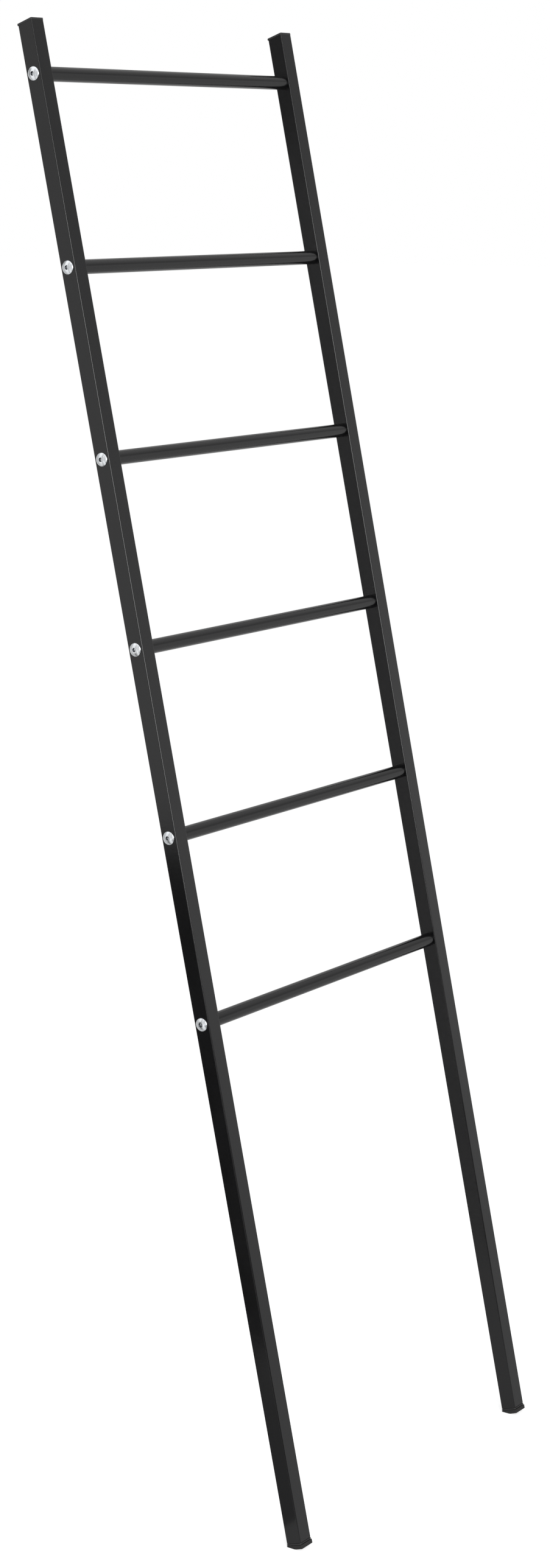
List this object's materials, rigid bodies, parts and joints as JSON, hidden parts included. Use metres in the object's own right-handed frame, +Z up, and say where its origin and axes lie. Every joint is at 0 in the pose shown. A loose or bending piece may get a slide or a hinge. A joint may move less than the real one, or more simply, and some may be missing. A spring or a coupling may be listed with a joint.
{
  "type": "towel ladder",
  "caption": "Leaning towel ladder: square black steel rails with round rungs bolted between them, capped tops and wedge feet.",
  "frame": {"origin": "on the floor under the soles, midway across the rails and midway between the front of the feet and the wall side of the caps", "axes": "+X along the rungs from the left rail to the right rail, +Y towards the wall that the ladder leans on, +Z up; the rails lean 12 degrees back from +Z towards +Y"},
  "size_m": [0.4858, 0.3764, 1.6751],
  "materials": {
    "black_powder_coat": "smooth semi-gloss black powder coat on steel tube",
    "zinc_plate": "bright zinc plate on steel",
    "insert_steel": "turned steel, zinc plated, unseen",
    "black_plastic": "moulded black polyethylene",
    "foot_rubber": "moulded black rubber"
  },
  "bodies": {
    "root": {"left_bolts": "zinc_plate", "left_foot_pad": "foot_rubber", "left_foot_plug": "black_plastic", "left_rail": "black_powder_coat", "left_top_cap": "black_plastic", "right_bolts": "zinc_plate", "right_foot_pad": "foot_rubber", "right_foot_plug": "black_plastic", "right_rail": "black_powder_coat", "right_top_cap": "black_plastic", "rung_1": "black_powder_coat", "rung_1_inserts": "insert_steel", "rung_2": "black_powder_coat", "rung_2_inserts": "insert_steel", "rung_3": "black_powder_coat", "rung_3_inserts": "insert_steel", "rung_4": "black_powder_coat", "rung_4_inserts": "insert_steel", "rung_5": "black_powder_coat", "rung_5_inserts": "insert_steel", "rung_6": "black_powder_coat", "rung_6_inserts": "insert_steel"}
  },
  "joints": []
}
